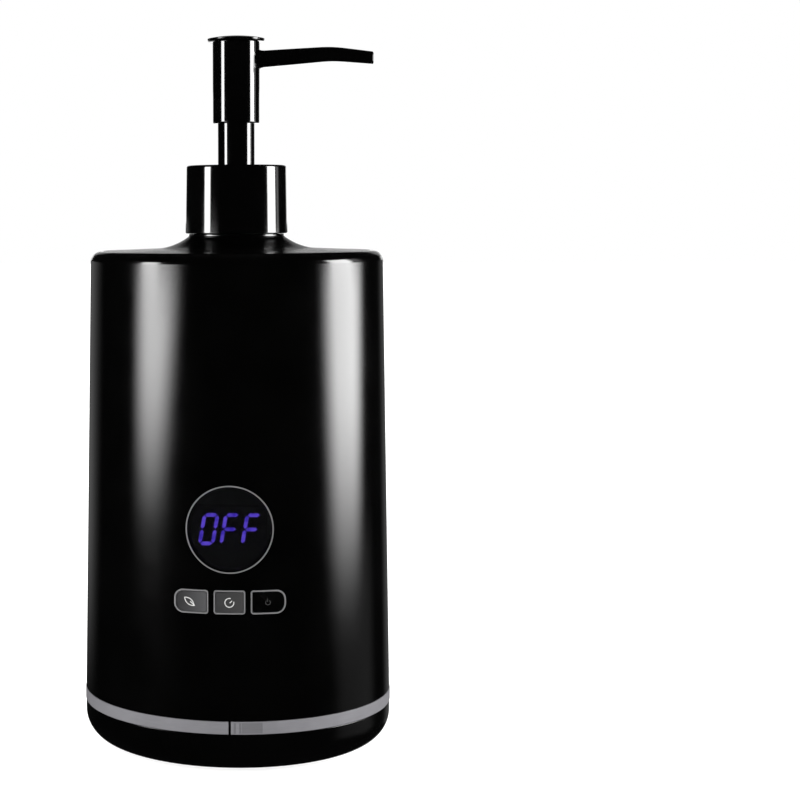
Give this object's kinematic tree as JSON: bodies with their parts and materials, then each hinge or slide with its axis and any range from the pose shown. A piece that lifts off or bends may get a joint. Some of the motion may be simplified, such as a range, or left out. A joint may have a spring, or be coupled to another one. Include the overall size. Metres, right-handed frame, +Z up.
{
  "type": "massage oil warmer",
  "caption": "Table-top massage oil warmer: tapered housing with a round display, press keys and a trim ring, holding a lift-out pump bottle in a heated cup.",
  "frame": {"origin": "on the table under the centre of the base, at the underside of the feet", "axes": "+Z up along the pump's axis, -Y out of the display, +X along the spout at rest"},
  "size_m": [0.104, 0.104, 0.2384],
  "materials": {
    "housing_black": "satin",
    "pump_black": "gloss",
    "trim_silver": "satin chrome",
    "lens_smoke": "smoked gloss",
    "digit_violet": "lit",
    "key_grey": "satin",
    "key_black": "gloss",
    "foot_rubber": "matt",
    "silicone": "matt",
    "screw_steel": "zinc plated",
    "cup_aluminium": "brushed",
    "heater_film": "polyimide film",
    "insulation_foam": "felt",
    "board_green": "solder mask",
    "component_black": "moulded",
    "relay_blue": "moulded",
    "lead_red": "insulated wire",
    "lead_black": "insulated wire",
    "lead_grey": "insulated wire",
    "bottle_white": "translucent",
    "pump_white": "natural polypropylene"
  },
  "bodies": {
    "warmer": {"housing_shell": "housing_black", "housing_columns": "component_black", "trim_ring": "trim_silver", "base_tub": "housing_black", "base_feet": "foot_rubber", "base_screws": "screw_steel", "display_lens": "lens_smoke", "display_ring": "trim_silver", "display_digits": "digit_violet", "led_module": "component_black", "control_board": "board_green", "tact_switches": "component_black", "board_screws": "screw_steel", "key_frame_left": "trim_silver", "key_frame_middle": "trim_silver", "key_frame_right": "trim_silver", "heating_cup": "cup_aluminium", "heater_band": "heater_film", "insulation_sleeve": "insulation_foam", "thermal_cutout": "component_black", "temperature_sensor": "component_black", "cup_cradle": "component_black", "cup_seal": "silicone", "bottle_pad": "silicone", "power_board": "board_green", "filter_capacitor": "component_black", "heater_relay": "relay_blue", "inlet_bezel": "housing_black", "dc_socket": "component_black", "heater_leads": "lead_red", "supply_leads": "lead_black", "control_leads": "lead_grey"},
    "left_key": {"key_left": "key_grey", "switch_stem_left": "component_black"},
    "middle_key": {"key_middle": "key_grey", "switch_stem_middle": "component_black"},
    "right_key": {"key_right": "key_black", "switch_stem_right": "component_black"},
    "bottle": {"top_lid": "housing_black", "lid_gasket": "foot_rubber", "drip_seal": "pump_black", "oil_bottle": "bottle_white"},
    "pump": {"pump_cylinder": "pump_white", "neck_gasket": "silicone", "guide_ring": "pump_black", "inlet_ball": "screw_steel", "dip_tube": "pump_white", "return_spring": "screw_steel"},
    "collar": {"pump_collar": "pump_black"},
    "plunger": {"pump_stem": "pump_black", "piston_seal": "pump_white"},
    "head": {"pump_head": "pump_black"}
  },
  "joints": [
    {"name": "left_key_press", "type": "slide", "parent": "warmer", "child": "left_key", "axis": [0, 1, 0], "range_m": [0, 0.0005], "stiffness_N_per_m": 400},
    {"name": "middle_key_press", "type": "slide", "parent": "warmer", "child": "middle_key", "axis": [0, 1, 0], "range_m": [0, 0.0005], "stiffness_N_per_m": 400},
    {"name": "right_key_press", "type": "slide", "parent": "warmer", "child": "right_key", "axis": [0, 1, 0], "range_m": [0, 0.0005], "stiffness_N_per_m": 400},
    {"name": "bottle_lift", "type": "slide", "parent": "warmer", "child": "bottle", "axis": [0, 0, 1], "range_m": [0, 0.15]},
    {"name": "closure_rise", "type": "slide", "parent": "bottle", "child": "pump", "axis": [0, 0, 1], "range_m": [0, 0.00634]},
    {"name": "collar_turn", "type": "hinge", "parent": "pump", "child": "collar", "pos_m": [0, 0, 0.18], "axis": [0, 0, 1], "range_deg": [0, 540]},
    {"name": "pump_press", "type": "slide", "parent": "pump", "child": "plunger", "axis": [0, 0, -1], "range_m": [0, 0.013], "stiffness_N_per_m": 600, "springref_m": -0.001, "deforming": ["return_spring"]},
    {"name": "spout_swivel", "type": "hinge", "parent": "plunger", "child": "head", "pos_m": [0, 0, 0.215], "axis": [0, 0, 1], "continuous": true}
  ],
  "couplings": [
    {"joint": "collar_turn", "follows": "closure_rise", "rad_per_m": 1485.4}
  ]
}
